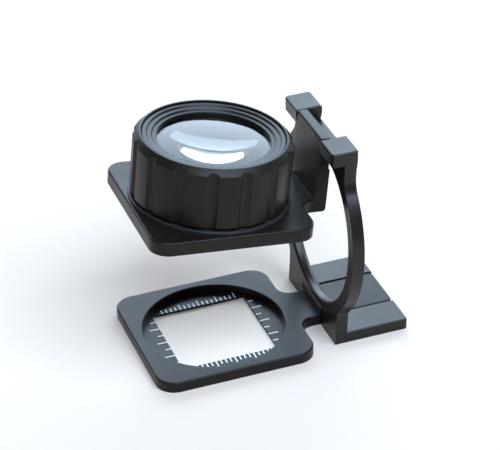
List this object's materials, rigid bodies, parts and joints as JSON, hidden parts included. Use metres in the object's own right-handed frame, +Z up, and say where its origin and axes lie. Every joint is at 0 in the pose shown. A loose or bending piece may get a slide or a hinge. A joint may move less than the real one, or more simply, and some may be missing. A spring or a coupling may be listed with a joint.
{
  "type": "viewing loupe",
  "caption": "Folding viewing loupe: hooped stand, hinged plate with a square marked aperture, hinged arm with a fluted focusing lens barrel.",
  "frame": {"origin": "middle of the foot's underside", "axes": "+Z up, +X from the scale plate towards the foot, Y along both hinge pins"},
  "size_m": [0.0677, 0.0492, 0.0606],
  "materials": {
    "black_moulding": "satin black moulded plastic with a fine grain",
    "black_grip": "satin black moulded plastic, fluted",
    "black_bezel": "satin black with fine turned rings",
    "black_tube": "matt black, light absorbing",
    "satin_bush": "satin black threaded bush",
    "pin_steel": "blackened steel pin",
    "white_marks": "white printed marks",
    "optical_glass": "polished clear lens glass"
  },
  "bodies": {
    "stand": {"stand_frame": "black_moulding", "foot_leaf": "black_moulding", "upper_hinge_pin": "pin_steel", "lower_hinge_pin": "pin_steel"},
    "scale": {"scale_plate": "black_moulding", "fine_scale_marks": "white_marks", "coarse_scale_marks": "white_marks"},
    "arm": {"lens_arm": "black_moulding", "focus_bush": "satin_bush"},
    "optics": {"lens_cell": "black_tube", "stepped_bezel": "black_bezel", "upper_lens": "optical_glass", "lens_spacer": "black_tube", "lower_lens": "optical_glass", "lens_retaining_ring": "black_tube"},
    "grip": {"focus_grip": "black_grip"}
  },
  "joints": [
    {"name": "arm_fold", "type": "hinge", "parent": "stand", "child": "arm", "pos_m": [-0.00855, 0, 0.05395], "axis": [0, 1, 0], "range_deg": [0, 259.9]},
    {"name": "scale_fold", "type": "hinge", "parent": "stand", "child": "scale", "pos_m": [-0.00905, 0, 0.0038], "axis": [0, 1, 0], "range_deg": [0, 88.6]},
    {"name": "focus_turn", "type": "hinge", "parent": "optics", "child": "grip", "pos_m": [-0.0366, 0, 0.04157], "axis": [-0.1179, 0, -0.993], "range_deg": [-72.2, 24.2]},
    {"name": "focus_lift", "type": "slide", "parent": "arm", "child": "optics", "axis": [-0.1179, 0, -0.993], "range_m": [-0.0012, 0.0004]}
  ],
  "couplings": [
    {"joint": "scale_fold", "follows": "arm_fold", "ratio": 0.3405},
    {"joint": "focus_turn", "follows": "focus_lift", "rad_per_m": 1047.2}
  ]
}
